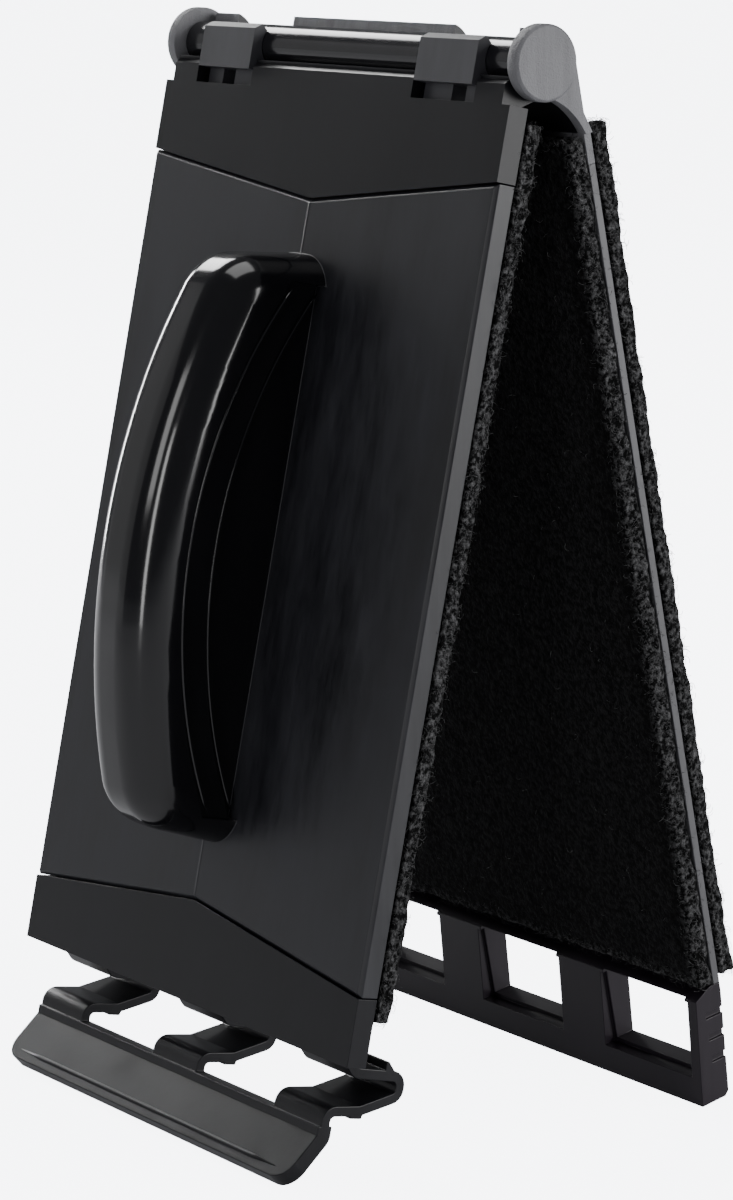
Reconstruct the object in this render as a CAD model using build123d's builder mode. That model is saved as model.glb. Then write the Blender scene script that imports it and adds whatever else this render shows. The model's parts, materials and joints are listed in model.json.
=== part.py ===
"""Folding string and fretboard wiper: two hinged leaves with felt pads, standing open like a tent.

Each leaf is drawn in its own flat frame that starts at the hinge axis: x runs across the leaf,
y runs down the leaf and z is the depth, positive towards the back of the standing object.
The two frames share the hinge axis and become one when the leaves are folded shut, so a
depth below the front pad's face belongs to the front leaf and a depth above it to the rear one.
"""
from build123d import *
from math import cos, radians, sin, sqrt, tan
import os

os.makedirs("parts", exist_ok=True)

# ---- driving dimensions (mm) ----
tent_half_angle = 11.8        # each leaf leans this far from upright when the object stands
leaf_width = 70.0
leaf_length = 110.2           # the front leaf, without its hinge shells and clasp

# hinge
rod_radius = 2.7
rod_clearance = 0.07
spigot_radius = 1.6
spigot_length = 1.1
spigot_clearance = 0.03
disc_margin = 1.7             # the discs stand this far outside the rod
disc_thickness = 1.8
disc_proud = 0.7              # each disc stands this far outside the leaf's edge
disc_chamfer = 0.3
shell_wall = 1.35
shell_back = 1.0              # the shells cover the rod's back from this depth
wall_lap = 0.6                # the walls in front of the rod reach this far above its underside
hook_width = 11.0
end_saddle_width = 5.2
shell_gap = 0.45              # along the rod, between one shell and the next
side_play = 0.4               # along the rod, between the front leaf's shells and the discs
shell_to_leaf = 1.28          # from a shell down to the front leaf's upper edge
hook_face = 4.12              # the hooks' flat front, ahead of the hinge axis
hook_tip_drop = 1.6           # the hooks' front face ends this far above the axis
hook_tip_run = 1.0            # the tip slopes up and back by these two
hook_tip_rise = 0.7
hook_slot_top = 3.4           # below the axis, under each hook
hook_slot_depth = 1.5         # from the leaf's front face
hook_hole_width = 2.6         # the part of the slot that goes right through
hook_hole_offset = 1.1
wall_chamfer = 0.9            # along the upper edge of the walls in front of the rod

# front leaf
front_inner = -1.1            # depth of the leaf's back face
front_thickness = 2.7
header_height = 8.7           # at the leaf's edges
footer_height = 8.0
seam_rise = 4.1               # the seams run to a point in the middle of the leaf
seam_gap = 0.12
panel_chamfer = 0.45
tongue_thickness = 0.9
tongue_depth = 3.0
tongue_root = 1.0
tongue_clearance = 0.08

# handle
header_to_handle = 6.7        # from the upper seam's point to the handle
handle_to_footer = 7.4        # from the handle to the lower seam's point
handle_rise = 19.3            # crest above the leaf's front face
shoulder_rise = 12.4
shoulder_inset = 1.6
shoulder_radius = 7.0
handle_half_width = 6.4
crest_radius = 5.0
recess_steps = ((6.0, 1.0), (10.3, 2.1))   # distance below the crest, depth into the side
recess_inset = 3.5            # the recesses end this far inside the handle's feet
recess_sagitta = 8.4          # the recesses' arcs fall this far from the middle to the ends
handle_wall = 1.7

# felt pads and their tapes
felt_thickness = 2.15
tape_thickness = 0.3
tape_inset = 1.3
closed_gap = 0.3              # between the two facing pads with the leaves shut
pad_proud = 0.2               # the felt stands this far outside the leaf's edge
front_pad_margin = 1.5        # below the front leaf's upper edge
front_pad_foot = 5.1          # above the front leaf's lower edge
inner_pad_margin = 0.3        # below the rear plate's upper edge
outer_pad_rise = 0.8          # above the rear plate's upper edge
inner_pad_foot = 0.3          # above the rear plate's lower edge
outer_pad_foot = 0.8

# rear leaf
shell_to_rear = 5.08          # from a shell down to the rear plate's upper edge
rear_thickness = 1.0
arm_foot_width = 7.0
arm_foot_height = 3.6
arm_back = 0.1                # the arm's straight outer edge, inside the disc's
arm_bend = 2.5                # above the rear plate, the arms and the web turn upright
web_thickness = 0.8           # the wall between the arms that closes the gap behind the hinge
web_clearance = 0.4           # between the web's upper edge and the shells

# catch strip at the foot of the rear leaf
strip_lap = 0.5               # the strip starts this far above the front leaf's lower edge
strip_inner = -0.4            # at the foot; the inner face leans back to the next depth
strip_inner_top = 1.0
strip_taper = 1.1             # the outer face leans in by this much from top to foot
strip_top_chamfer = 1.2
strip_foot_chamfer = 0.6
strip_end_wall = 2.2
window_drop = 0.6             # below the front leaf's lower edge
window_height = 9.6
window_width = 15.6
window_rebate = 0.5
rebate_floor = 1.6
foot_height = 4.0             # the bar below the windows
groove_height = 0.8
groove_depth = 0.35
groove_pitch = 2.85
groove_start = 2.2            # the grooves run from this depth to the outer face
groove_drop = 0.5             # the middle groove, below the windows' middle

# clasp at the foot of the front leaf
catch_width = 9.6             # width of each sprung hairpin
catch_spread = 0.9            # the outer hairpins stand this far outside their windows' middles
catch_thickness = 1.25
catch_height = 0.55           # the barb stands this far above the window's top edge
catch_clearance = 0.3
barb_clearance = 0.15         # between the barb and the strip's outer face
nose_reach = 2.7              # the hairpins' noses stand this far behind the strip
hairpin_height = 4.6
root_pocket_depth = 1.2       # the hairpins' roots sit in pockets in the footer's back
root_gap = 0.12
lip_thickness = 2.0
lip_setback = -2.1
lip_flare = 4.2
lip_angle = radians(37)       # between the lip and the leaf
lip_corner_radius = 2.6

# ---- sizes that follow ----
half_width = leaf_width / 2
lean = radians(tent_half_angle)
bore_radius = rod_radius + rod_clearance
shell_radius = bore_radius + shell_wall
disc_radius = rod_radius + disc_margin
disc_outside = half_width + disc_proud
disc_inside = disc_outside - disc_thickness
end_saddle_middle = disc_inside - side_play - end_saddle_width / 2
hook_offset = end_saddle_middle - end_saddle_width / 2 - shell_gap - hook_width / 2
saddle_half_width = hook_offset - hook_width / 2 - shell_gap

front_face = front_inner - front_thickness
front_top = shell_radius + shell_to_leaf
front_bottom = front_top + leaf_length
upper_seam = front_top + header_height
lower_seam = front_bottom - footer_height
handle_top = upper_seam + seam_rise + header_to_handle
handle_bottom = lower_seam - seam_rise - handle_to_footer
handle_middle = (handle_top + handle_bottom) / 2

front_pad_face = front_inner + tape_thickness + felt_thickness
rear_inner = front_pad_face + closed_gap + felt_thickness + tape_thickness
rear_outer = rear_inner + rear_thickness
rear_top = shell_radius + shell_to_rear
strip_top = front_bottom - strip_lap
strip_outer = rear_outer - strip_taper
window_top = front_bottom + window_drop
window_bottom = window_top + window_height
window_middle = (window_top + window_bottom) / 2
window_pitch = half_width - strip_end_wall - window_width / 2
catch_pitch = window_pitch + catch_spread
strip_bottom = window_bottom + foot_height
clasp_width = 2 * catch_pitch + catch_width

front_pad_top = front_top + front_pad_margin
front_pad_bottom = front_bottom - front_pad_foot
inner_pad_top = rear_top + inner_pad_margin
inner_pad_bottom = strip_top - inner_pad_foot
outer_pad_top = rear_top - outer_pad_rise
outer_pad_bottom = strip_top - outer_pad_foot

# The rear strip's inner edge and the clasp's lip both touch the ground.
hinge_height = strip_bottom * cos(lean) - strip_inner * sin(lean)
half_lip = lip_thickness / 2
tip_depth = lip_setback - lip_flare
heel_depth = tip_depth + half_lip * cos(lip_angle)
heel_drop = (hinge_height - heel_depth * sin(lean)) / cos(lean)
tip_drop = heel_drop - half_lip * sin(lip_angle)
lip_shoulder = tip_drop - lip_flare / tan(lip_angle)
toe_depth = tip_depth - half_lip * cos(lip_angle)
toe_drop = tip_drop - half_lip * sin(lip_angle)
lip_reach = toe_drop * sin(lean) - toe_depth * cos(lean)

# The handle's arched crest reaches furthest forward where it runs upright.
crest_rise = handle_rise - shoulder_rise
crest_chord = (handle_bottom - handle_top) / 2 - shoulder_inset
crest_arc_radius = (crest_chord ** 2 + crest_rise ** 2) / (2 * crest_rise)
crest_center_depth = front_face - handle_rise + crest_arc_radius
handle_reach = handle_middle * sin(lean) - crest_center_depth * cos(lean) + crest_arc_radius
front_reach = max(lip_reach, handle_reach)
arm_outer = disc_radius - arm_back
web_inner = arm_outer - web_thickness
web_top = sqrt((shell_radius + web_clearance) ** 2 - web_inner ** 2)
pad_back = rear_outer + tape_thickness + felt_thickness
rear_reach = max(
    outer_pad_bottom * sin(lean) + pad_back * cos(lean),
    (strip_bottom - strip_foot_chamfer) * sin(lean) + strip_outer * cos(lean),
)
hinge_y = (front_reach - rear_reach) / 2
hinge_point = (0, hinge_y, hinge_height)

front_depth_dir = (0, cos(lean), -sin(lean))
rear_depth_dir = (0, cos(lean), sin(lean))
front_leaf = Plane(origin=hinge_point, x_dir=(1, 0, 0), z_dir=front_depth_dir)
rear_leaf = Plane(origin=hinge_point, x_dir=(1, 0, 0), z_dir=rear_depth_dir)
# Side planes: x is the depth and y runs down the leaf.
front_side = Plane(origin=hinge_point, x_dir=front_depth_dir, z_dir=(-1, 0, 0))
rear_side = Plane(origin=hinge_point, x_dir=rear_depth_dir, z_dir=(-1, 0, 0))


def at_across(side_plane, across):
    """The side plane moved to a distance across the leaf."""
    return side_plane.offset(-across)


def finish(builder, name):
    """Label a finished piece and write it."""
    builder.part.label = name
    export_step(builder.part, f"parts/{name}.step")


def slab(leaf, near, far, half, top, bottom):
    """A flat rectangular piece between two depths of a leaf."""
    with BuildPart() as piece:
        with BuildSketch(leaf.offset(near)):
            with Locations((0, (top + bottom) / 2)):
                Rectangle(2 * half, bottom - top)
        extrude(amount=far - near)
    return piece


def seam_outline(top_edge, top_middle, bottom_edge, bottom_middle, half):
    """A band across the leaf whose upper and lower edges may run to a point in the middle."""
    return Polyline(
        (-half, top_edge), (0, top_middle), (half, top_edge),
        (half, bottom_edge), (0, bottom_middle), (-half, bottom_edge),
        close=True,
    )


# ---- hinge: rod, discs and the arms that carry them ----
with BuildPart() as hinge_rod:
    with BuildSketch(at_across(rear_side, 0)):
        Circle(rod_radius)
    extrude(amount=disc_inside, both=True)
    with BuildSketch(at_across(rear_side, 0)):
        Circle(spigot_radius)
    extrude(amount=disc_inside + spigot_length, both=True)
finish(hinge_rod, "hinge_rod")


def hinge_arm(side):
    """A disc on the end of the rod with the curved arm that joins it to the rear leaf."""
    with BuildPart() as arm:
        with BuildSketch(at_across(rear_side, side * disc_inside)):
            Circle(disc_radius)
        extrude(amount=-side * disc_thickness)
        chamfer(arm.faces().sort_by(Axis.X)[-1 if side > 0 else 0].edges(), length=disc_chamfer)
        with BuildSketch(at_across(rear_side, side * disc_inside)):
            with BuildLine():
                arm_start = (0, disc_radius - disc_chamfer)
                Polyline(
                    arm_start, (0, 0), (arm_outer, 0.6), (arm_outer, rear_top - arm_bend),
                    (rear_outer, rear_top), (rear_inner, rear_top),
                )
                ThreePointArc((rear_inner, rear_top), (rear_inner - 1.35, rear_top - 2.6), arm_start)
            make_face()
        extrude(amount=-side * (disc_thickness - disc_chamfer))
        with BuildSketch(rear_leaf.offset(rear_inner)):
            with Locations((side * (half_width - arm_foot_width / 2), rear_top + arm_foot_height / 2)):
                Rectangle(arm_foot_width, arm_foot_height)
        extrude(amount=rear_thickness)
        with BuildSketch(at_across(rear_side, side * disc_inside)):
            Circle(spigot_radius + spigot_clearance)
        extrude(amount=-side * (spigot_length + spigot_clearance), mode=Mode.SUBTRACT)
    return arm


finish(hinge_arm(-1), "hinge_arm_left")
finish(hinge_arm(1), "hinge_arm_right")

# ---- front leaf: header band with its hinge shells ----
neck_top = bore_radius - wall_lap
hook_back = front_face + hook_slot_depth
with BuildPart() as header_band:
    with BuildSketch(front_leaf.offset(front_face)):
        with BuildLine():
            Polyline(
                (-half_width, front_top), (half_width, front_top), (half_width, upper_seam),
                (0, upper_seam + seam_rise), (-half_width, upper_seam), close=True,
            )
        make_face()
    extrude(amount=front_thickness)
    with BuildSketch(front_leaf.offset(front_inner - (front_thickness + tongue_thickness) / 2)):
        with BuildLine():
            seam_outline(
                upper_seam - tongue_root, upper_seam + seam_rise - tongue_root,
                upper_seam + tongue_depth, upper_seam + seam_rise + tongue_depth,
                half_width - tongue_depth,
            )
        make_face()
    extrude(amount=tongue_thickness)
finish(header_band, "header_band")



def shell_neck(front_points):
    """The block that joins a hinge shell to the header band's upper edge."""
    Polyline(
        *front_points, (0, neck_top), (shell_radius - 1.2, hook_slot_top - 0.4),
        (front_inner, front_top), close=True,
    )


saddle_front = (
    (front_face, front_top), (front_face, neck_top + wall_chamfer), (front_face + wall_chamfer, neck_top),
)
hook_front = (
    (hook_back, front_top), (hook_back, hook_slot_top), (-hook_face, hook_slot_top),
    (-hook_face, -hook_tip_drop), (-hook_face + hook_tip_run, -hook_tip_drop - hook_tip_rise),
    (-bore_radius + 0.5, -hook_tip_drop),
)
saddle_spans = (
    (0, saddle_half_width),
    (end_saddle_middle, end_saddle_width / 2),
    (-end_saddle_middle, end_saddle_width / 2),
)
with BuildPart() as hinge_saddles:
    for middle, half_span in saddle_spans:
        with BuildSketch(at_across(front_side, middle)):
            Circle(shell_radius)
            with Locations((shell_back - shell_radius, neck_top - shell_radius)):
                Rectangle(2 * shell_radius, 2 * shell_radius, mode=Mode.SUBTRACT)
            with BuildLine():
                shell_neck(saddle_front)
            make_face()
            Circle(bore_radius, mode=Mode.SUBTRACT)
        extrude(amount=half_span, both=True)
finish(hinge_saddles, "hinge_saddles")

with BuildPart() as hinge_hooks:
    for side in (-1, 1):
        with BuildSketch(at_across(front_side, side * hook_offset)):
            with BuildLine():
                shell_neck(hook_front)
            make_face()
            Circle(bore_radius, mode=Mode.SUBTRACT)
        extrude(amount=hook_width / 2, both=True)
        with BuildSketch(front_leaf.offset(front_face - 1)):
            with Locations((side * (hook_offset + hook_hole_offset), (hook_slot_top + front_top) / 2)):
                Rectangle(hook_hole_width, front_top - hook_slot_top)
        extrude(amount=front_thickness + shell_radius, mode=Mode.SUBTRACT)
finish(hinge_hooks, "hinge_hooks")

# ---- front leaf: handle panel, hollow behind the handle ----
def handle_outline(inset, foot):
    """Side view of the arched handle, drawn a wall's thickness inside its outer shape."""
    shoulder = front_face - shoulder_rise
    crest = front_face - handle_rise + inset
    first = handle_top + inset
    last = handle_bottom - inset
    Polyline(
        (shoulder, last - shoulder_inset), (front_face, last), (foot, last),
        (foot, first), (front_face, first), (shoulder, first + shoulder_inset),
    )
    ThreePointArc(
        (shoulder, first + shoulder_inset), (crest, handle_middle), (shoulder, last - shoulder_inset)
    )


def handle_section(inset, foot):
    """The side view as a face, with its two shoulders rounded."""
    with BuildSketch(Plane.XY) as section:
        with BuildLine():
            handle_outline(inset, foot)
        make_face()
        shoulders = section.vertices().filter_by(
            lambda corner: abs(corner.X - front_face + shoulder_rise) < 0.01
        )
        fillet(shoulders, radius=shoulder_radius - inset)
    return section.sketch


def recess_outline(below_crest):
    """One step of the finger recess: an arc that follows the crest, closed along the panel."""
    first = handle_top + recess_inset
    last = handle_bottom - recess_inset
    middle = front_face - handle_rise + below_crest
    end = middle + recess_sagitta
    Polyline((end, first), (front_face, first), (front_face, last), (end, last))
    ThreePointArc((end, first), (middle, handle_middle), (end, last))


with BuildPart() as handle_panel:
    with BuildSketch(front_leaf.offset(front_face)):
        with BuildLine():
            seam_outline(
                upper_seam + seam_gap, upper_seam + seam_rise + seam_gap,
                lower_seam - seam_gap, lower_seam - seam_rise - seam_gap,
                half_width,
            )
        make_face()
    extrude(amount=front_thickness)
    chamfer(
        handle_panel.faces().sort_by(Axis(hinge_point, front_depth_dir))[0].edges(),
        length=panel_chamfer,
    )
    with BuildSketch(at_across(front_side, 0)):
        add(handle_section(0, front_face + 1.0))
    extrude(amount=handle_half_width, both=True)
    crest_edges = handle_panel.edges().filter_by(
        lambda edge: abs(abs(edge.center().X) - handle_half_width) < 0.01
        and (front_side.to_local_coords(edge.center()).X < front_face - 1.0)
    )
    fillet(crest_edges, radius=crest_radius)
    for below_crest, depth_in in recess_steps:
        for side in (-1, 1):
            with BuildSketch(at_across(front_side, side * (handle_half_width + 1))):
                with BuildLine():
                    recess_outline(below_crest)
                make_face()
            extrude(amount=side * (1 + depth_in), mode=Mode.SUBTRACT)
    cavity_half = handle_half_width - recess_steps[-1][1] - handle_wall
    with BuildSketch(at_across(front_side, cavity_half)):
        add(handle_section(handle_wall, front_inner + 1.0))
    extrude(amount=2 * cavity_half, mode=Mode.SUBTRACT)
    groove_width = tongue_thickness + 2 * tongue_clearance
    with BuildSketch(front_leaf.offset(front_inner - (front_thickness + groove_width) / 2)):
        for seam, direction in ((upper_seam, 1), (lower_seam, -1)):
            with BuildLine():
                seam_outline(
                    seam - direction * tongue_root, seam + direction * (seam_rise - tongue_root),
                    seam + direction * (tongue_depth + tongue_clearance),
                    seam + direction * (seam_rise + tongue_depth + tongue_clearance),
                    half_width - tongue_depth + tongue_clearance,
                )
            make_face()
    extrude(amount=groove_width, mode=Mode.SUBTRACT)
finish(handle_panel, "handle_panel")

# ---- front leaf: footer band, with pockets for the clasp's roots ----
pocket_height = catch_thickness + root_gap
with BuildPart() as footer_band:
    with BuildSketch(front_leaf.offset(front_face)):
        with BuildLine():
            Polyline(
                (-half_width, front_bottom), (half_width, front_bottom), (half_width, lower_seam),
                (0, lower_seam - seam_rise), (-half_width, lower_seam), close=True,
            )
        make_face()
    extrude(amount=front_thickness)
    with BuildSketch(front_leaf.offset(front_inner - (front_thickness + tongue_thickness) / 2)):
        with BuildLine():
            seam_outline(
                lower_seam + tongue_root, lower_seam - seam_rise + tongue_root,
                lower_seam - tongue_depth, lower_seam - seam_rise - tongue_depth,
                half_width - tongue_depth,
            )
        make_face()
    extrude(amount=tongue_thickness)
    with BuildSketch(front_leaf.offset(front_inner)):
        for column in (-1, 0, 1):
            with Locations((column * catch_pitch, front_bottom - pocket_height / 2)):
                Rectangle(catch_width + 2 * root_gap, pocket_height)
    extrude(amount=-root_pocket_depth, mode=Mode.SUBTRACT)
finish(footer_band, "footer_band")

# ---- clasp: three sprung hairpins joined by a flared lip ----
half_catch = catch_thickness / 2
root_drop = front_bottom - half_catch
arm_drop = window_top + catch_clearance + half_catch
nose_depth = rear_outer + nose_reach
barb_depth = rear_outer + barb_clearance
lower_arm = arm_drop + hairpin_height
with BuildPart() as clasp:
    for column in (-1, 0, 1):
        with BuildSketch(at_across(front_side, column * catch_pitch)):
            with BuildLine() as hairpin:
                FilletPolyline(
                    (front_inner - root_pocket_depth + root_gap, root_drop),
                    (front_inner + 0.2, root_drop), (front_inner + 2.2, arm_drop),
                    (nose_depth, arm_drop + 0.3), (nose_depth, lower_arm - 1.95),
                    (strip_inner + 2.9, lower_arm - 0.15), (lip_setback, lower_arm),
                    (lip_setback, lip_shoulder), radius=catch_thickness,
                )
            trace(hairpin.line, line_width=catch_thickness)
            with BuildLine():
                Polyline(
                    (barb_depth, arm_drop), (barb_depth, window_top - catch_height),
                    (barb_depth + 0.45, window_top - catch_height), (nose_depth - 0.6, arm_drop + 0.2),
                    close=True,
                )
            make_face()
            with BuildLine():
                Polyline(
                    (3.2, lower_arm - 0.4), (1.2, lower_arm), (1.2, lower_arm + 0.8),
                    (2.9, lower_arm + 0.8), close=True,
                )
            make_face()
        extrude(amount=catch_width / 2, both=True)
    with BuildSketch(at_across(front_side, 0)):
        with BuildLine() as lip:
            FilletPolyline(
                (lip_setback, lip_shoulder - 1.4), (lip_setback, lip_shoulder), (tip_depth, tip_drop),
                radius=1.2,
            )
        trace(lip.line, line_width=lip_thickness)
    extrude(amount=clasp_width / 2, both=True)
    half_tip = clasp_width / 2 - 0.01
    lip_tip = front_side.from_local_coords((tip_depth, tip_drop, 0))
    tip_corners = clasp.edges().filter_by(lambda edge: abs(edge.center().Z - lip_tip.Z) < 0.01)
    fillet(tip_corners.filter_by(lambda edge: abs(edge.center().X) > half_tip), radius=lip_corner_radius)
finish(clasp, "clasp")

# ---- rear leaf: thin plate with its web up to the hinge, and the thick strip with three catch windows ----
with BuildPart() as rear_plate:
    with BuildSketch(rear_leaf.offset(rear_inner)):
        with Locations((0, (rear_top + strip_top) / 2)):
            Rectangle(leaf_width, strip_top - rear_top)
        for side in (-1, 1):
            with Locations((side * (half_width - arm_foot_width / 2), rear_top + arm_foot_height / 2)):
                Rectangle(arm_foot_width, arm_foot_height, mode=Mode.SUBTRACT)
    extrude(amount=rear_thickness)
    with BuildSketch(at_across(rear_side, 0)):
        with BuildLine():
            Polyline(
                (rear_inner, rear_top), (rear_outer, rear_top), (arm_outer, rear_top - arm_bend),
                (arm_outer, web_top), (web_inner, web_top), (web_inner, rear_top - arm_bend),
                close=True,
            )
        make_face()
    extrude(amount=disc_inside, both=True)
finish(rear_plate, "rear_plate")

with BuildPart() as catch_strip:
    with BuildSketch(at_across(rear_side, 0)):
        with BuildLine():
            Polyline(
                (strip_inner_top, strip_top + strip_top_chamfer),
                (strip_inner_top + 2 * strip_top_chamfer, strip_top), (rear_outer, strip_top),
                (rear_outer, strip_top + strip_top_chamfer),
                (strip_outer, strip_bottom - strip_foot_chamfer),
                (strip_outer - strip_foot_chamfer, strip_bottom),
                (strip_inner, strip_bottom), close=True,
            )
        make_face()
    extrude(amount=half_width, both=True)
    for column in (-1, 0, 1):
        with BuildSketch(rear_leaf.offset(strip_inner - 1)):
            with Locations((column * window_pitch, window_middle)):
                Rectangle(window_width, window_height)
        extrude(amount=rear_outer - strip_inner + 2, mode=Mode.SUBTRACT)
        with BuildSketch(rear_leaf.offset(rebate_floor)):
            with Locations((column * window_pitch, window_middle + window_rebate)):
                Rectangle(window_width + 2 * window_rebate, window_height)
        extrude(amount=strip_inner - rebate_floor - 1, mode=Mode.SUBTRACT)
    for side in (-1, 1):
        with BuildSketch(rear_leaf.offset(groove_start)):
            for step in (-1, 0, 1):
                with Locations((side * half_width, window_middle + groove_drop + step * groove_pitch)):
                    Rectangle(2 * groove_depth, groove_height)
        extrude(amount=rear_outer - groove_start + 1, mode=Mode.SUBTRACT)
finish(catch_strip, "catch_strip")

# ---- felt pads and the double-sided tapes that hold them ----
pad_half = half_width + pad_proud
pads = (
    ("front_pad", front_leaf, front_inner, 1, front_pad_top, front_pad_bottom),
    ("inner_pad", rear_leaf, rear_inner, -1, inner_pad_top, inner_pad_bottom),
    ("outer_pad", rear_leaf, rear_outer, 1, outer_pad_top, outer_pad_bottom),
)
for name, leaf, face, direction, top, bottom in pads:
    tape_face = face + direction * tape_thickness
    tape = slab(
        leaf, face, tape_face, half_width - tape_inset,
        max(top, rear_top) + tape_inset, bottom - tape_inset,
    )
    finish(tape, f"{name}_tape")
    felt = slab(leaf, tape_face, tape_face + direction * felt_thickness, pad_half, top, bottom)
    finish(felt, name)

print("hinge axis", hinge_point)
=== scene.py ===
# %% [markdown]
# # A folding string and fretboard wiper
# Two black plastic leaves hang from a rod and stand open like a tent. Three felt pads do the
# wiping, an arched handle is pinched between the fingers, and a sprung clasp shuts the leaves.
# The engineering model already holds every size, so it is loaded first and never moved.
# What is made here is what a solid model can't say: fibres, soft edges, mould marks and gloss.

# %% Load the frame
import bpy
import bmesh
import json
import math
import numpy as np
from mathutils import Matrix, Vector, noise


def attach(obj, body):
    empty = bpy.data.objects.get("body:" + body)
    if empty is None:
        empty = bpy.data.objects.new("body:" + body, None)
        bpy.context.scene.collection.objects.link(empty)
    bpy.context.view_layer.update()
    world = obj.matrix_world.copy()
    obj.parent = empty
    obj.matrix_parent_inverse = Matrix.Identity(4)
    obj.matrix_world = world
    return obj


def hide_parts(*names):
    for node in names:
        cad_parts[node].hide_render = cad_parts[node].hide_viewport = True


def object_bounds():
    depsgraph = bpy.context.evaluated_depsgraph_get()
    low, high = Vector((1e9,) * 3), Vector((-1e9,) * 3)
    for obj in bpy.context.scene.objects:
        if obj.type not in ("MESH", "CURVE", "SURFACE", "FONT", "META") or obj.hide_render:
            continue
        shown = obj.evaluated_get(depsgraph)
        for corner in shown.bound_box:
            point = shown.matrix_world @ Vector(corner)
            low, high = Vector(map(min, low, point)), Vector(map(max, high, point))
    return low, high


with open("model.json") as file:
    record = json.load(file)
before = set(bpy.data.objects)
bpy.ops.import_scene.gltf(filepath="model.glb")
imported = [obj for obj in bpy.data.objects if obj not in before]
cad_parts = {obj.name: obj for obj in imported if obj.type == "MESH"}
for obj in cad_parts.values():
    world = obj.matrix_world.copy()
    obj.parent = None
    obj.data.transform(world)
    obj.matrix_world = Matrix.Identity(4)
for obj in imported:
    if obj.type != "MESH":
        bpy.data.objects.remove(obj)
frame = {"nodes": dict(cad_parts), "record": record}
cad_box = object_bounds()
MM = 0.001
nodes = frame["nodes"]
joints = {joint["name"]: joint for joint in frame["record"]["behaviour"]["joints"]}
print("CAD box", [tuple(round(c, 4) for c in corner) for corner in cad_box])

# %% [markdown]
# Everything on the object lies on one of two leaves that lean away from each other. Working in
# each leaf's own directions, across, down and deep, is far easier than working in the room's,
# so one matrix is made for each leaf. Both come from the hinge: its place, and half the angle
# that it turns through to shut.

# %% The two leaves' own directions
hinge_place = Vector(joints["leaf_fold"]["pos_m"])
lean = math.radians(-joints["leaf_fold"]["range_deg"][0] / 2)


def leaf_matrix(side):
    """Columns are across, down and deep. side is -1 for the front leaf and 1 for the rear one."""
    across = Vector((1, 0, 0))
    down = Vector((0, side * math.sin(lean), -math.cos(lean)))
    deep = Vector((0, math.cos(lean), side * math.sin(lean)))
    turn = Matrix((across, down, deep)).transposed().to_4x4()
    return Matrix.Translation(hinge_place) @ turn


leaves = {"front_leaf": leaf_matrix(-1), "rear_leaf": leaf_matrix(1)}
front_inverse = leaves["front_leaf"].inverted()
rear_inverse = leaves["rear_leaf"].inverted()


def leaf_extent(node, leaf):
    """Lowest and highest across, down and deep of a CAD node, in metres."""
    inverse = leaves[leaf].inverted()
    points = np.array([inverse @ vertex.co for vertex in nodes[node].data.vertices])
    return points.min(axis=0), points.max(axis=0)


panel_face = leaf_extent("header_band", "front_leaf")[0][2]
print("lean", round(math.degrees(lean), 2), "degrees")
print("panel face", round(panel_face / MM, 2), "mm deep")

# %% [markdown]
# ## Camera
# The camera stands to the right of the front leaf and a little above the hinge. A long lens
# keeps the upright lines nearly parallel, as in a catalogue picture.

# %% Camera
camera_azimuth = math.radians(54.0)
camera_elevation = math.radians(10.48)
camera_from_hinge = Vector((380.86, -276.23, 20.49)) * MM
back = Vector((
    math.sin(camera_azimuth) * math.cos(camera_elevation),
    -math.cos(camera_azimuth) * math.cos(camera_elevation),
    math.sin(camera_elevation),
))
camera_data = bpy.data.cameras.new("camera")
camera_data.lens = 117.2
camera_data.sensor_width = 36.0
camera_data.shift_x = 0.002
camera_data.clip_start = 0.01
camera = bpy.data.objects.new("camera", camera_data)
camera.location = hinge_place + camera_from_hinge
camera.rotation_mode = "QUATERNION"
camera.rotation_quaternion = back.to_track_quat("Z", "Y")
bpy.context.collection.objects.link(camera)
bpy.context.scene.camera = camera
print("camera", tuple(round(c, 3) for c in camera.location))

# %% [markdown]
# ## Floor and light
# Black plastic shows only what it reflects, so the lights are what draws its shape. Soft boxes
# at the left and above give the long highlights on the handle and the rod. The floor and the
# backdrop could simply be bright, but then they would wash the black out. So both are bright
# only where the camera looks straight at them, and dim for every ray that lights the object.

# %% Helpers for meshes and materials
def new_mesh_object(name, vertices, faces):
    """A mesh object at the origin, made from lists."""
    mesh = bpy.data.meshes.new(name)
    mesh.from_pydata([tuple(v) for v in vertices], [], faces)
    mesh.update()
    obj = bpy.data.objects.new(name, mesh)
    bpy.context.collection.objects.link(obj)
    return obj


def principled(name):
    """A new material and its Principled BSDF."""
    material = bpy.data.materials.new(name)
    material.use_nodes = True
    return material, material.node_tree.nodes["Principled BSDF"]


def sight_strength(tree, for_object, for_camera):
    """A light strength that is one value for the camera and another for every other ray."""
    sight = tree.nodes.new("ShaderNodeLightPath")
    strength = tree.nodes.new("ShaderNodeMapRange")
    strength.inputs["To Min"].default_value = for_object
    strength.inputs["To Max"].default_value = for_camera
    tree.links.new(sight.outputs["Is Camera Ray"], strength.inputs["Value"])
    return strength.outputs["Result"]


# %% Floor and backdrop
floor_half = 4.0                    # m
studio_white = (0.93, 0.95, 1.0, 1)
floor_glow = (0.25, 7.0)            # strength for the object, then for the camera
room_glow = (0.16, 4.0)
floor = new_mesh_object(
    "floor",
    [(-floor_half, -floor_half, 0), (floor_half, -floor_half, 0),
     (floor_half, floor_half, 0), (-floor_half, floor_half, 0)],
    [(0, 1, 2, 3)],
)
paper, paper_shader = principled("pale_paper")
paper_shader.inputs["Base Color"].default_value = (0.40, 0.40, 0.41, 1)
paper_shader.inputs["Roughness"].default_value = 0.9
paper_shader.inputs["Emission Color"].default_value = studio_white
paper.node_tree.links.new(
    sight_strength(paper.node_tree, *floor_glow), paper_shader.inputs["Emission Strength"])
floor.data.materials.append(paper)

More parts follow.
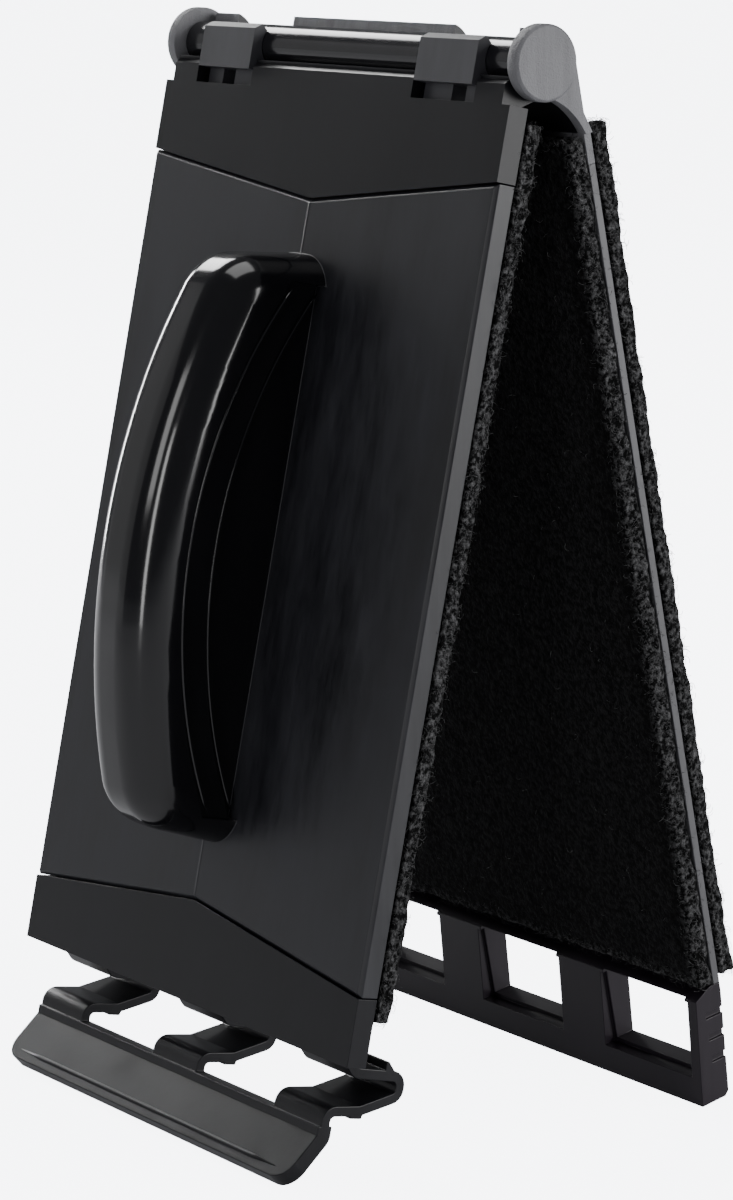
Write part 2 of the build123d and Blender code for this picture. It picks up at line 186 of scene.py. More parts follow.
world = bpy.data.worlds.new("studio")
bpy.context.scene.world = world
world.use_nodes = True
backdrop = world.node_tree.nodes["Background"]
backdrop.inputs["Color"].default_value = studio_white
world.node_tree.links.new(
    sight_strength(world.node_tree, *room_glow), backdrop.inputs["Strength"])
print("floor", 2 * floor_half, "m wide, glow", floor_glow, "and room", room_glow)


# %% Soft boxes
def soft_box(name, place, target, width, height, power):
    """A white rectangular area light that faces its target."""
    data = bpy.data.lights.new(name, "AREA")
    data.shape = "RECTANGLE"
    data.size = width
    data.size_y = height
    data.energy = power
    light = bpy.data.objects.new(name, data)
    light.location = place
    light.rotation_mode = "QUATERNION"
    light.rotation_quaternion = (Vector(place) - Vector(target)).to_track_quat("Z", "Y")
    bpy.context.collection.objects.link(light)


middle = (cad_box[0] + cad_box[1]) / 2
soft_boxes = (
    # name, place from the object's middle (m), width (m), height (m), watts
    ("left_strip", (-0.95, 0.0, 0.05), 0.09, 0.8, 9.0),
    ("upper_left_box", (-0.75, 0.10, 0.62), 0.35, 0.30, 5.0),
    ("right_back_box", (0.78, 0.60, 0.12), 0.7, 0.8, 17.0),
    ("front_box", (0.15, -0.95, 0.40), 0.25, 0.35, 1.4),
    ("front_right_strip", (0.50, -0.85, -0.02), 0.12, 0.8, 3.0),
    ("front_left_card", (-0.72, -0.68, 0.10), 0.8, 0.9, 0.9),
    ("top_box", (0.0, 0.0, 0.95), 0.6, 0.6, 4.0),
)
for name, offset, width, height, watts in soft_boxes:
    soft_box(name, middle + Vector(offset), middle, width, height, watts)
print("soft boxes", len(soft_boxes), "with", sum(box[-1] for box in soft_boxes), "W in all")

# %% [markdown]
# ## Shared finishes
# Moulded black plastic is never one even colour: it has a very fine grain, faint flow lines,
# rubbed patches and a little dust. Several materials need the same effect with other values,
# so the effect is one node group, built once. Painted image maps would do too, but they would
# have to be unwrapped and would blur close up, and noise in the object's own space does neither.

# %% Node helpers
def new_group(name, inputs, outputs):
    """A shader node group with float inputs (name, default) and float outputs (name)."""
    group = bpy.data.node_groups.new(name, "ShaderNodeTree")
    for label, default in inputs:
        socket = group.interface.new_socket(label, in_out="INPUT", socket_type="NodeSocketFloat")
        socket.default_value = default
    for label in outputs:
        group.interface.new_socket(label, in_out="OUTPUT", socket_type="NodeSocketFloat")
    return group, group.nodes.new("NodeGroupInput"), group.nodes.new("NodeGroupOutput")


def math_node(tree, operation, first, second=None):
    """A Math node fed by sockets or numbers; returns its output."""
    node = tree.nodes.new("ShaderNodeMath")
    node.operation = operation
    for socket, value in zip(node.inputs, (first, second)):
        if value is None:
            continue
        if isinstance(value, (int, float)):
            socket.default_value = value
        else:
            tree.links.new(value, socket)
    return node.outputs[0]


def noise_node(tree, vector, scale, detail=4.0, roughness=0.5):
    """A Noise Texture on the given coordinates; returns its factor."""
    node = tree.nodes.new("ShaderNodeTexNoise")
    node.inputs["Scale"].default_value = scale
    node.inputs["Detail"].default_value = detail
    node.inputs["Roughness"].default_value = roughness
    tree.links.new(vector, node.inputs["Vector"])
    return node.outputs["Fac"]


def stretched_coordinates(tree, stretch):
    """Object coordinates scaled differently along X, Y and Z."""
    coordinates = tree.nodes.new("ShaderNodeTexCoord")
    mapping = tree.nodes.new("ShaderNodeMapping")
    mapping.inputs["Scale"].default_value = stretch
    tree.links.new(coordinates.outputs["Object"], mapping.inputs["Vector"])
    return mapping.outputs["Vector"]


def colour_mix(tree, factor, dark, light):
    """A Mix node that runs from the dark colour to the light one."""
    mix = tree.nodes.new("ShaderNodeMix")
    mix.data_type = "RGBA"
    mix.inputs["A"].default_value = (*dark, 1)
    mix.inputs["B"].default_value = (*light, 1)
    tree.links.new(factor, mix.inputs["Factor"])
    return mix


def add_relief(tree, shader, height, strength, distance):
    """Bump from a height socket; distance is in mm."""
    relief = tree.nodes.new("ShaderNodeBump")
    relief.inputs["Strength"].default_value = strength
    relief.inputs["Distance"].default_value = distance * MM
    tree.links.new(height, relief.inputs["Height"])
    tree.links.new(relief.outputs["Normal"], shader.inputs["Normal"])


# %% The moulded plastic group
def build_moulded_group():
    """Height, gloss and tone of moulded plastic: grain, flow streaks and rubbed patches."""
    group, given, result = new_group(
        "moulded_plastic",
        [("Grain", 0.3), ("Streaks", 0.3), ("Rough", 0.4), ("Rough Change", 0.1)],
        ["Height", "Roughness", "Tone"],
    )
    # Scales are per metre. The two stretched ones run down the object, as the plastic flowed.
    plain = stretched_coordinates(group, (1, 1, 1))
    grain = noise_node(group, plain, 5200.0, 2.0)
    patches = noise_node(group, plain, 70.0, 5.0, 0.6)
    flow = stretched_coordinates(group, (1.0, 1.0, 0.06))
    streaks = noise_node(group, flow, 900.0, 4.0, 0.6)
    strokes = stretched_coordinates(group, (1.0, 1.0, 0.12))
    brushed = noise_node(group, strokes, 160.0, 5.0, 0.65)

    grain_height = math_node(group, "MULTIPLY", grain, given.outputs["Grain"])
    streak_height = math_node(group, "MULTIPLY", streaks, given.outputs["Streaks"])
    height = math_node(group, "ADD", grain_height, streak_height)
    group.links.new(height, result.inputs["Height"])

    # Weights of the three noises in the tone; the last step centres it on one half.
    half_patches = math_node(group, "MULTIPLY", patches, 0.5)
    strong_brushed = math_node(group, "MULTIPLY", brushed, 1.5)
    uneven = math_node(group, "ADD", half_patches, strong_brushed)
    soft_streaks = math_node(group, "MULTIPLY", streaks, 0.6)
    tone = math_node(group, "SUBTRACT", math_node(group, "ADD", soft_streaks, uneven), 0.8)
    group.links.new(tone, result.inputs["Tone"])

    centred = math_node(group, "SUBTRACT", tone, 0.5)
    change = math_node(group, "MULTIPLY", centred, given.outputs["Rough Change"])
    rough = math_node(group, "ADD", given.outputs["Rough"], change)
    group.links.new(rough, result.inputs["Roughness"])
    return group


moulded_group = build_moulded_group()
print("moulded group", len(moulded_group.nodes), "nodes")


# %% One plastic
def moulded_plastic(name, dark, light, rough, grain=0.3, streaks=0.3, change=0.12,
                    bump=0.02, shine=0.5):
    """A black plastic whose tone runs between two colours. bump is in mm."""
    material, shader = principled(name)
    tree = material.node_tree
    group = tree.nodes.new("ShaderNodeGroup")
    group.node_tree = moulded_group
    group.inputs["Grain"].default_value = grain
    group.inputs["Streaks"].default_value = streaks
    group.inputs["Rough"].default_value = rough
    group.inputs["Rough Change"].default_value = change
    tone = colour_mix(tree, group.outputs["Tone"], dark, light)
    tree.links.new(tone.outputs["Result"], shader.inputs["Base Color"])
    tree.links.new(group.outputs["Roughness"], shader.inputs["Roughness"])
    add_relief(tree, shader, group.outputs["Height"], 0.5, bump)
    shader.inputs["Specular IOR Level"].default_value = shine
    return material


def add_mould_line(material, half_width, height):
    """A raised line down the middle of a piece, where the two halves of the mould met."""
    tree = material.node_tree
    relief = next(node for node in tree.nodes if node.bl_idname == "ShaderNodeBump")
    old = relief.inputs["Height"].links[0].from_socket
    place = tree.nodes.new("ShaderNodeSeparateXYZ")
    tree.links.new(stretched_coordinates(tree, (1, 1, 1)), place.inputs["Vector"])
    away = math_node(tree, "ABSOLUTE", place.outputs["X"])
    ridge = tree.nodes.new("ShaderNodeMapRange")
    ridge.interpolation_type = "SMOOTHSTEP"
    ridge.inputs["From Max"].default_value = half_width * MM
    ridge.inputs["To Min"].default_value = height
    ridge.inputs["To Max"].default_value = 0.0
    tree.links.new(away, ridge.inputs["Value"])
    tree.links.new(math_node(tree, "ADD", old, ridge.outputs["Result"]), relief.inputs["Height"])


# %% The object's plastics
plastics = {
    "band": moulded_plastic(
        "satin_black_band", (0.0022, 0.0022, 0.003), (0.007, 0.007, 0.009), 0.36, shine=0.22),
    "panel": moulded_plastic(
        "slate_black_panel", (0.002, 0.002, 0.003), (0.022, 0.0225, 0.027), 0.42,
        streaks=0.9, change=0.3, shine=0.32),
    "handle": moulded_plastic(
        "polished_black_handle", (0.002, 0.002, 0.003), (0.004, 0.004, 0.005), 0.13,
        grain=0.05, streaks=0.05, change=0.05),
    "hook": moulded_plastic(
        "black_hook", (0.02, 0.02, 0.023), (0.045, 0.045, 0.052), 0.40, bump=0.04),
    "disc": moulded_plastic(
        "matte_black_disc", (0.045, 0.045, 0.05), (0.17, 0.17, 0.18), 0.6, grain=1.5, bump=0.12),
    "rod": moulded_plastic(
        "polished_black_rod", (0.004, 0.004, 0.005), (0.01, 0.01, 0.012), 0.16,
        grain=0.1, streaks=0.1, change=0.08),
    "clasp": moulded_plastic(
        "satin_black_clasp", (0.003, 0.003, 0.004), (0.010, 0.010, 0.012), 0.33,
        streaks=0.6, shine=0.25),
    "strip": moulded_plastic(
        "warm_black_strip", (0.004, 0.0025, 0.005), (0.011, 0.007, 0.012), 0.36, shine=0.25),
    "plate": moulded_plastic(
        "grey_black_plate", (0.03, 0.03, 0.034), (0.07, 0.07, 0.076), 0.5, bump=0.05),
}
mould_line_half_width = 0.3   # mm
mould_line_height = 4.0       # times the bump distance of the panel
add_mould_line(plastics["panel"], mould_line_half_width, mould_line_height)
print("plastics", ", ".join(plastics))

# %% [markdown]
# ## Moulded parts with soft edges
# A mould never leaves a knife edge, and on black plastic the rounded edges are what catches the
# light. Each hard part is a copy of its CAD node with its loose triangles merged, flat faces
# joined and every sharp edge rounded by a small bevel. A bevel alone leaves the flat faces
# shaded as if they bulged, so weighted normals turn them flat again.

# %% Clean copies
merge_distance = 0.001 * MM
flat_angle = math.radians(0.3)


def clean_copy(node, name):
    """A copy of a CAD node's mesh with its loose triangles merged and its flat faces joined."""
    obj = bpy.data.objects.new(name, nodes[node].data.copy())
    bpy.context.collection.objects.link(obj)
    bm = bmesh.new()
    bm.from_mesh(obj.data)
    bmesh.ops.remove_doubles(bm, verts=bm.verts, dist=merge_distance)
    bmesh.ops.dissolve_limit(bm, angle_limit=flat_angle, verts=bm.verts, edges=bm.edges)
    for face in bm.faces:
        face.smooth = True
    bm.to_mesh(obj.data)
    bm.free()
    obj.data.materials.clear()
    return obj


def apply_modifiers(obj):
    """Turns an object's modifiers into its mesh."""
    graph = bpy.context.evaluated_depsgraph_get()
    baked = bpy.data.meshes.new_from_object(obj.evaluated_get(graph))
    obj.modifiers.clear()
    obj.data = baked


def unite(obj, other):
    """Joins two touching solids into one, as a single moulding."""
    union = obj.modifiers.new("union", "BOOLEAN")
    union.operation = "UNION"
    union.solver = "EXACT"
    union.object = other
    apply_modifiers(obj)
    bpy.data.objects.remove(other)


def soften(obj, radius, segments=2, angle=32.0):
    """Rounds every edge sharper than angle (degrees) by radius (mm); flat faces stay flat."""
    bevel = obj.modifiers.new("soft_edges", "BEVEL")
    bevel.width = radius * MM
    bevel.segments = segments
    bevel.limit_method = "ANGLE"
    bevel.angle_limit = math.radians(angle)
    flat = obj.modifiers.new("flat_faces", "WEIGHTED_NORMAL")
    flat.weight = 100
    flat.thresh = 0.001
    apply_modifiers(obj)


def paint(obj, materials, choose=None):
    """Gives a piece its materials; choose(centre) picks one's number for each face."""
    obj.data.materials.clear()
    for material in materials:
        obj.data.materials.append(material)
    for face in obj.data.polygons:
        face.material_index = choose(face.center) if choose else 0


# %% Which material each face takes
shell_back = -1.0 * MM                      # above this, down the leaf, only hinge shells
handle_base = panel_face - 0.1 * MM         # nearer than this, only the handle
plate_top = leaf_extent("outer_pad", "rear_leaf")[0][1] + 0.7 * MM


def shell_or_band(centre):
    """The backs of the hinge shells are rough where the mould lets them go."""
    return 1 if (front_inverse @ centre).y < shell_back else 0


def handle_or_panel(centre):
    """The handle is polished and the panel it stands on is satin."""
    return 1 if (front_inverse @ centre).z < handle_base else 0


def web_or_plate(centre):
    """The web behind the hinge is as dark and smooth as the bands."""
    return 1 if (rear_inverse @ centre).y < plate_top else 0


print("web ends", round(plate_top / MM, 2), "mm down the rear leaf")


# %% Moulded parts
def moulded(names, body, radius, materials, choose):
    """One moulded piece that stands for one or more touching CAD nodes."""
    piece = clean_copy(names[0], f"{names[0]}_moulded")
    for other in names[1:]:
        unite(piece, clean_copy(other, f"{other}_copy"))
    soften(piece, radius)
    paint(piece, materials, choose)
    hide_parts(*names)
    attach(piece, body)
    print(names, len(piece.data.polygons), "faces")


hard_parts = (
    # CAD nodes, body, edge radius (mm), plastics, which plastic each face takes
    (("header_band", "hinge_saddles"), "front_leaf", 0.07, ("band", "disc"), shell_or_band),
    (("hinge_hooks",), "front_leaf", 0.45, ("hook",), None),
    (("footer_band",), "front_leaf", 0.07, ("band",), None),
    (("handle_panel",), "front_leaf", 0.12, ("panel", "handle"), handle_or_panel),
    (("hinge_rod",), "rear_leaf", 0.2, ("rod",), None),
    (("hinge_arm_left",), "rear_leaf", 0.2, ("disc",), None),
    (("hinge_arm_right",), "rear_leaf", 0.2, ("disc",), None),
    (("rear_plate",), "rear_leaf", 0.1, ("plate", "band"), web_or_plate),
    (("catch_strip",), "rear_leaf", 0.22, ("strip",), None),
    (("clasp",), "clasp", 0.22, ("clasp",), None),
)
for names, body, radius, finishes, choose in hard_parts:
    moulded(names, body, radius, [plastics[finish] for finish in finishes], choose)

# %% [markdown]
# ## Raised beads
# The edges of the handle's finger recesses and the lip of the clasp end in thin round beads,
# which show as bright lines. They could be drawn by bump alone, but a bead that really stands
# out keeps its highlight from every side. Each is a tube swept along its path: an arc through
# three points, or a straight line across the lip.

# %% Bead along a path
bead_sides = 8
bead_end_shrink = 0.35   # the first and last ring are this much of the full radius


def bead(name, leaf, paths, radius):
    """Closed tubes of that radius (mm) along paths of (across, down, deep) points in mm."""
    vertices, faces = [], []
    for path in paths:
        points = [leaves[leaf] @ (Vector(point) * MM) for point in path]
        start, last = len(vertices), len(points) - 1
        for i, point in enumerate(points):
            along = (points[min(i + 1, last)] - points[max(i - 1, 0)]).normalized()
            side = along.orthogonal() if i == 0 else side - along * side.dot(along)
            side.normalize()
            up = along.cross(side)
            shrink = bead_end_shrink if i in (0, last) else 1.0
            for k in range(bead_sides):
                turn = 2 * math.pi * k / bead_sides
                offset = side * math.cos(turn) + up * math.sin(turn)
                vertices.append(point + offset * (radius * shrink * MM))
        for i in range(last):
            for k in range(bead_sides):
                a = start + i * bead_sides + k
                b = start + i * bead_sides + (k + 1) % bead_sides
                faces.append((a, b, b + bead_sides, a + bead_sides))
        faces.append(tuple(start + k for k in reversed(range(bead_sides))))
        faces.append(tuple(start + last * bead_sides + k for k in range(bead_sides)))
    obj = new_mesh_object(name, vertices, faces)
    bm = bmesh.new()
    bm.from_mesh(obj.data)
    bmesh.ops.recalc_face_normals(bm, faces=bm.faces)
    bm.to_mesh(obj.data)
    bm.free()
    obj.data.polygons.foreach_set("use_smooth", [True] * len(obj.data.polygons))
    return obj


def sagging_arc(across, first, last, middle_depth, end_depth, count=41):
    """Points of the circle arc that starts at first and ends at last, both at end_depth,
    and passes half way between them at middle_depth."""
    half, sagitta = (last - first) / 2, end_depth - middle_depth
    radius = (half ** 2 + sagitta ** 2) / (2 * sagitta)
    spread = math.asin(half / radius)
    centre = (first + last) / 2
    for i in range(count):
        angle = -spread + 2 * spread * i / (count - 1)
        depth = middle_depth + radius * (1 - math.cos(angle))
        yield across, centre + radius * math.sin(angle), depth


# %% Beads on the handle
handle_clearance = 2.0                     # mm in front of the panel, where only handle is left
recess_edges = ((6.0, 0.0), (10.3, 1.0))   # below the crest, and inside the handle's side, mm
recess_end_inset = 3.4                     # mm from the handle's ends
recess_sag = 8.4                           # mm from the arc's middle to its ends
recess_bead_radius = 0.2                   # mm
handle_points = np.array([front_inverse @ v.co for v in nodes["handle_panel"].data.vertices]) / MM
handle_points = handle_points[handle_points[:, 2] < panel_face / MM - handle_clearance]
handle_low, handle_high = handle_points.min(axis=0), handle_points.max(axis=0)
arcs = []
for below, inside in recess_edges:
    for side in (-1, 1):
        arcs.append(list(sagging_arc(
            side * (handle_high[0] - inside),
            handle_low[1] + recess_end_inset, handle_high[1] - recess_end_inset,
            handle_low[2] + below, handle_low[2] + below + recess_sag,
        )))
handle_beads = bead("handle_recess_beads", "front_leaf", arcs, recess_bead_radius)
paint(handle_beads, (plastics["handle"],))
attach(handle_beads, "front_leaf")
print("handle from", handle_low.round(1), "to", handle_high.round(1), "mm")

# %% Bead on the clasp's lip
lip_tip_inset = 0.25     # mm behind the clasp's frontmost point
lip_bead_inset = 0.62    # mm behind the lip's tip
lip_bead_rise = 2.2      # mm above the clasp's lowest point
lip_end_inset = 2.6      # mm from the lip's ends
lip_bead_radius = 0.32   # mm
lip_steps = 12
lip_low, lip_high = leaf_extent("clasp", "front_leaf")
lip_depth = lip_low[2] / MM + lip_tip_inset + lip_bead_inset
lip_down = lip_high[1] / MM - lip_bead_rise
lip_reach = lip_high[0] / MM - lip_end_inset
lip_line = [
    (-lip_reach + 2 * lip_reach * i / lip_steps, lip_down, lip_depth)
    for i in range(lip_steps + 1)
]
lip_bead = bead("clasp_lip_bead", "front_leaf", [lip_line], lip_bead_radius)
paint(lip_bead, (plastics["clasp"],))
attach(lip_bead, "clasp")
print("lip bead", round(2 * lip_reach, 1), "mm long,", round(lip_down, 1), "mm down the leaf")

# %% [markdown]
# ## Felt pads
# Needled felt is a dense springy sheet, cut with a blade and taped down. Its taped face is held
# flat and its free face swells a little, which a cloth simulation with a small pressure gives.
# The cut edges are then roughened by moving the vertices with noise, and loose fibres are
# scattered on them by Geometry Nodes, because a felt edge is seen as a fringe of fibres.

# %% One felt
felt_relief = 0.35   # mm


def fleck_node(tree, vector, scale, low=0.46, high=0.70):
    """Noise sharpened into separate flecks between two levels."""
    ramp = tree.nodes.new("ShaderNodeMapRange")
    ramp.inputs["From Min"].default_value = low
    ramp.inputs["From Max"].default_value = high
    tree.links.new(noise_node(tree, vector, scale, 3.0, 0.7), ramp.inputs["Value"])
    return ramp.outputs["Result"]


def felt_material(name, dark, light, scale, painted_edge_light=None):
    """Matted fibres: dark wool with pale flecks, very rough, with a deep fine relief.
    Where the piece's near_edge attribute is 1, the flecks take a paler colour: painted light,
    standing for the light that the cut edge catches."""
    material, shader = principled(name)
    tree = material.node_tree
    plain = stretched_coordinates(tree, (1, 1, 1))
    flecks = fleck_node(tree, plain, scale)
    lumps = noise_node(tree, plain, scale * 0.35, 3.0, 0.6)
    tone = colour_mix(tree, flecks, dark, light)
    if painted_edge_light:
        near = tree.nodes.new("ShaderNodeAttribute")
        near.attribute_name = "near_edge"
        rim = colour_mix(tree, near.outputs["Fac"], light, painted_edge_light)
        tree.links.new(rim.outputs["Result"], tone.inputs["B"])
    tree.links.new(tone.outputs["Result"], shader.inputs["Base Color"])
    height = math_node(tree, "ADD", math_node(tree, "MULTIPLY", flecks, 0.4), lumps)
    add_relief(tree, shader, height, 0.9, felt_relief)
    shader.inputs["Roughness"].default_value = 0.95
    shader.inputs["Specular IOR Level"].default_value = 0.05
    shader.inputs["Sheen Weight"].default_value = 0.02
    shader.inputs["Sheen Roughness"].default_value = 0.5
    return material


# %% Felt, fibre and tape
# The last colour is painted light: the flecks near the cut edges are paler, as if lit.
felt = felt_material(
    "black_needled_felt", (0.0020, 0.0020, 0.0021), (0.011, 0.011, 0.0115), 1500.0,
    (0.12, 0.12, 0.123))
# The fibres' dark colour is their own; their pale flecks are painted light, a glint on the loose
# fibres.
fibre = felt_material("dark_fibre_painted_glint", (0.02, 0.02, 0.02), (0.20, 0.20, 0.205), 2500.0)
foam = felt_material("black_foam_tape", (0.008, 0.008, 0.008), (0.03, 0.03, 0.03), 4000.0)
print("soft materials", felt.name, fibre.name, foam.name)

# %% Felt sheet
sheet_inset = 0.2              # mm that the sheet starts inside its CAD pad, to leave room to swell
sheet_cell = 2.0               # mm
sheet_layers = 3
rim_angle = 1.0                # radians; only the sheet's outer edges turn this sharply
rim_crease = 0.55


def felt_stations(size):
    """Evenly spaced stations along a side."""
    return np.linspace(0.0, size, max(2, round(size / (sheet_cell * MM))) + 1)


def felt_sheet(node, leaf, name):
    """A closed box of even cells in the space of a CAD pad, a little smaller than it."""
    low, high = leaf_extent(node, leaf)
    low, high = low + sheet_inset * MM, high - sheet_inset * MM
    across, down = felt_stations(high[0] - low[0]), felt_stations(high[1] - low[1])
    deep = np.linspace(0.0, high[2] - low[2], sheet_layers + 1)
    obj = new_mesh_object(name, [], [])
    bm = bmesh.new()
    corner = {}

    def vertex(i, j, k):
        if (i, j, k) not in corner:
            place = leaves[leaf] @ Vector((low[0] + across[i], low[1] + down[j], low[2] + deep[k]))
            corner[(i, j, k)] = bm.verts.new(place)
        return corner[(i, j, k)]

    counts = (len(across) - 1, len(down) - 1, len(deep) - 1)
    for axis in range(3):
        first, second = [other for other in range(3) if other != axis]
        for end in (0, counts[axis]):
            for a in range(counts[first]):
                for b in range(counts[second]):
                    ring = []
                    for da, db in ((0, 0), (1, 0), (1, 1), (0, 1)):
                        index = [0, 0, 0]
                        index[axis], index[first], index[second] = end, a + da, b + db
                        ring.append(vertex(*index))
                    bm.faces.new(ring)
    bmesh.ops.recalc_face_normals(bm, faces=bm.faces)
    crease = bm.edges.layers.float.new("crease_edge")
    for edge in bm.edges:
        if edge.calc_face_angle(0.0) > rim_angle:
            edge[crease] = rim_crease
    bm.to_mesh(obj.data)
    bm.free()
    return obj


# %% Swell by cloth simulation
held_tolerance = 0.05 * MM   # a point this near the taped face is held


def swell(obj, leaf, free_side, pressure=3.0, cap=0.3, frames=14):
    """Inflates a pad slightly. Its taped face is held, and free_side is 1 where the free face
    is the deeper one. No point moves further than cap (mm)."""
    inverse = leaves[leaf].inverted()
    depths = np.array([(inverse @ vertex.co).z for vertex in obj.data.vertices])
    held_depth = depths.min() if free_side > 0 else depths.max()
    held = [i for i, depth in enumerate(depths) if abs(depth - held_depth) < held_tolerance]
    group = obj.vertex_groups.new(name="taped")
    group.add(held, 1.0, "REPLACE")
    cloth = obj.modifiers.new("swell", "CLOTH")
    cloth.settings.vertex_group_mass = "taped"
    cloth.settings.use_pressure = True
    cloth.settings.uniform_pressure_force = pressure
    cloth.settings.tension_stiffness = 15
    cloth.settings.compression_stiffness = 15
    cloth.settings.quality = 5
    cloth.settings.effector_weights.gravity = 0.0
    scene = bpy.context.scene
    for number in range(1, frames + 1):
        scene.frame_set(number)
    swollen = obj.evaluated_get(bpy.context.evaluated_depsgraph_get()).to_mesh()
    after = np.array([vertex.co for vertex in swollen.vertices])
    before = np.array([vertex.co for vertex in obj.data.vertices])
    moved = after - before
    lengths = np.maximum(np.linalg.norm(moved, axis=1), 1e-12)
    moved *= np.minimum(1.0, cap * MM / lengths)[:, None]
    obj.modifiers.clear()
    obj.vertex_groups.clear()
    scene.frame_set(1)
    obj.data.vertices.foreach_set("co", (before + moved).ravel())
    obj.data.update()
    most = float(np.linalg.norm(moved, axis=1).max() / MM)
    print(obj.name, "swelled by up to", round(most, 2), "mm")


# %% Cut edges and lumps
rim_width = 1.6        # mm from the cut edge over which the felt is rougher
coarse_scale = 420.0   # lumps per metre
fine_scale = 1100.0


def matted(obj, node, leaf):
    """Subdivides a pad, then roughens it: softly on its faces and strongly on its cut edges."""
    finer = obj.modifiers.new("finer", "SUBSURF")
    finer.levels = finer.render_levels = 2
    apply_modifiers(obj)
    low, high = leaf_extent(node, leaf)
    inverse = leaves[leaf].inverted()
    mesh = obj.data
    edge = np.zeros(len(mesh.vertices))
    places = np.empty((len(mesh.vertices), 3))
    for i, vertex in enumerate(mesh.vertices):
        local = inverse @ vertex.co
        rim = min(local.x - low[0], high[0] - local.x, local.y - low[1], high[1] - local.y) / MM
        edge[i] = max(0.0, 1.0 - rim / rim_width)
        coarse = noise.noise(vertex.co * coarse_scale)
        fine = noise.noise(vertex.co * fine_scale)
        # mm: a little everywhere, and more with a small outward bulge at the cut edge
        lift = (0.05 + 0.25 * edge[i]) * coarse + (0.04 + 0.22 * edge[i]) * fine + 0.12 * edge[i]
        places[i] = vertex.co + vertex.normal * (lift * MM)
    mesh.vertices.foreach_set("co", places.ravel())
    near = mesh.attributes.new("near_edge", "FLOAT", "POINT")
    near.data.foreach_set("value", edge.astype(np.float32))
    mesh.polygons.foreach_set("use_smooth", [True] * len(mesh.polygons))
    mesh.update()


# %% [markdown]
# ### Loose fibres
# Hair curves would be lighter, but an exporter of meshes leaves them out. So each fibre is a
# tiny bent three-sided tube. Geometry Nodes place one on each of many random points, dense at
# the cut edge and sparse on the faces, each with its own turn and length.

# %% Where the fibres stand
def fibre_points(tree, given):
    """Random points on the felt, densest where near_edge is 1."""
    add, link = tree.nodes.new, tree.links.new
    near = add("GeometryNodeInputNamedAttribute")
    near.data_type = "FLOAT"
    near.inputs["Name"].default_value = "near_edge"
    steep = math_node(tree, "POWER", near.outputs["Attribute"], 0.7)
    density = math_node(tree, "MULTIPLY", steep, given.outputs["Edge Density"])
    density = math_node(tree, "ADD", density, given.outputs["Face Density"])
    points = add("GeometryNodeDistributePointsOnFaces")
    link(given.outputs["Geometry"], points.inputs["Mesh"])
    link(density, points.inputs["Density"])
    link(given.outputs["Seed"], points.inputs["Seed"])
    return points


# %% One fibre
def fibre_tube(tree, given):
    """A bent three-sided tube one unit long, rooted just under the surface."""
    add, link = tree.nodes.new, tree.links.new
    bend = add("GeometryNodeCurveQuadraticBezier")
    bend.inputs["Resolution"].default_value = 4
    bend.inputs["Start"].default_value = (0.0, 0.0, -0.15)
    bend.inputs["Middle"].default_value = (0.1, 0.0, 0.75)
    bend.inputs["End"].default_value = (0.95, 0.25, 0.25)
    ring = add("GeometryNodeCurvePrimitiveCircle")
    ring.inputs["Resolution"].default_value = 3
    relative = math_node(tree, "DIVIDE", given.outputs["Thickness"], given.outputs["Length"])
    link(relative, ring.inputs["Radius"])
    tube = add("GeometryNodeCurveToMesh")
    link(bend.outputs["Curve"], tube.inputs["Curve"])
    link(ring.outputs["Curve"], tube.inputs["Profile Curve"])
    return tube.outputs["Mesh"]


# %% Each fibre's turn and length
def fibre_turn(tree, points):
    """A random tilt off the surface and a random turn about its normal."""
    add, link = tree.nodes.new, tree.links.new
    turn = add("FunctionNodeRandomValue")
    turn.data_type = "FLOAT_VECTOR"
    turn.inputs["Min"].default_value = (-0.9, -0.9, 0.0)
    turn.inputs["Max"].default_value = (0.9, 0.9, 6.283)
    spun = add("FunctionNodeRotateRotation")
    spun.rotation_space = "LOCAL"
    link(points.outputs["Rotation"], spun.inputs["Rotation"])
    link(turn.outputs["Value"], spun.inputs["Rotate By"])
    return spun.outputs["Rotation"]


def fibre_length(tree, given):
    """A random share of the full length."""
    share = tree.nodes.new("FunctionNodeRandomValue")
    share.inputs[2].default_value = 0.35
    share.inputs[3].default_value = 1.0
    return math_node(tree, "MULTIPLY", share.outputs[1], given.outputs["Length"])


# %% The whole fibre tree
fibre_inputs = (
    # name, kind, default; densities are per square metre and lengths in metres
    ("Geometry", "NodeSocketGeometry", None),
    ("Edge Density", "NodeSocketFloat", 4.5e6),
    ("Face Density", "NodeSocketFloat", 3.0e4),
    ("Length", "NodeSocketFloat", 1.1 * MM),
    ("Thickness", "NodeSocketFloat", 0.032 * MM),
    ("Seed", "NodeSocketInt", 1),
    ("Material", "NodeSocketMaterial", None),
)


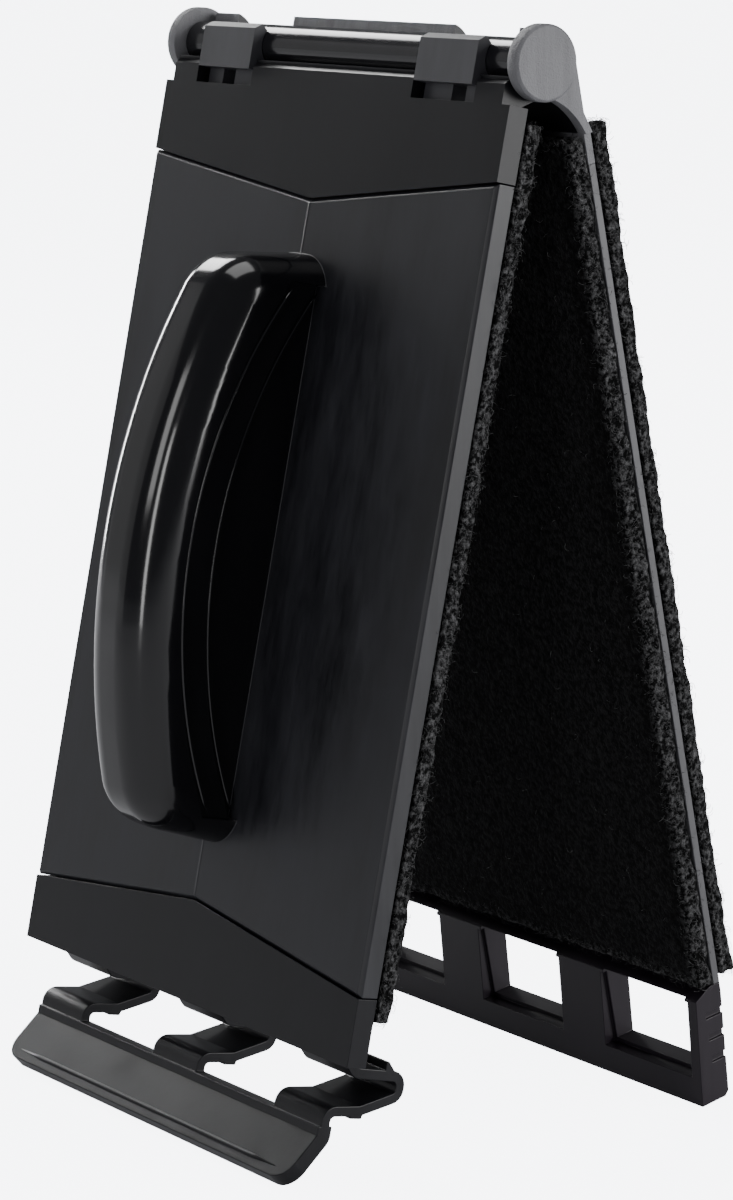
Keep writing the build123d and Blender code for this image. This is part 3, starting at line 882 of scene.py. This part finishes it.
def fibre_tree():
    """Scatters short bent fibres over a felt piece; returns the tree and its input names."""
    tree = bpy.data.node_groups.new("felt_fibres", "GeometryNodeTree")
    sockets = {}
    for label, kind, default in fibre_inputs:
        socket = tree.interface.new_socket(label, in_out="INPUT", socket_type=kind)
        if default is not None:
            socket.default_value = default
        sockets[label] = socket.identifier
    tree.interface.new_socket("Geometry", in_out="OUTPUT", socket_type="NodeSocketGeometry")
    add, link = tree.nodes.new, tree.links.new
    given, result = add("NodeGroupInput"), add("NodeGroupOutput")
    points = fibre_points(tree, given)
    place = add("GeometryNodeInstanceOnPoints")
    link(points.outputs["Points"], place.inputs["Points"])
    link(fibre_tube(tree, given), place.inputs["Instance"])
    link(fibre_turn(tree, points), place.inputs["Rotation"])
    link(fibre_length(tree, given), place.inputs["Scale"])
    real = add("GeometryNodeRealizeInstances")
    link(place.outputs["Instances"], real.inputs["Geometry"])
    dressed = add("GeometryNodeSetMaterial")
    link(real.outputs["Geometry"], dressed.inputs["Geometry"])
    link(given.outputs["Material"], dressed.inputs["Material"])
    link(dressed.outputs["Geometry"], result.inputs["Geometry"])
    return tree, sockets


fibres_tree, fibre_sockets = fibre_tree()
print("fibre tree", len(fibres_tree.nodes), "nodes")


# %% Scatter
def scatter_fibres(pad, name, seed):
    """A piece of loose fibres grown on a pad."""
    obj = bpy.data.objects.new(name, pad.data.copy())
    bpy.context.collection.objects.link(obj)
    grow = obj.modifiers.new("fibres", "NODES")
    grow.node_group = fibres_tree
    grow[fibre_sockets["Seed"]] = seed
    grow[fibre_sockets["Material"]] = fibre
    apply_modifiers(obj)
    print(name, len(obj.data.polygons), "faces")
    return obj


# %% The three pads
pads = (
    # CAD node, leaf, 1 where the free face is the deeper one, seed of the fibres
    ("front_pad", "front_leaf", 1, 11),
    ("inner_pad", "rear_leaf", -1, 23),
    ("outer_pad", "rear_leaf", 1, 37),
)
for node, leaf, free_side, seed in pads:
    pad = felt_sheet(node, leaf, f"{node}_felt")
    swell(pad, leaf, free_side)
    matted(pad, node, leaf)
    paint(pad, (felt,))
    fibres = scatter_fibres(pad, f"{node}_fibres", seed)
    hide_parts(node)
    for piece in (pad, fibres):
        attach(piece, leaf)
    print(pad.name, len(pad.data.polygons), "faces")
    tape = nodes[f"{node}_tape"]
    tape.data.materials.clear()
    tape.data.materials.append(foam)
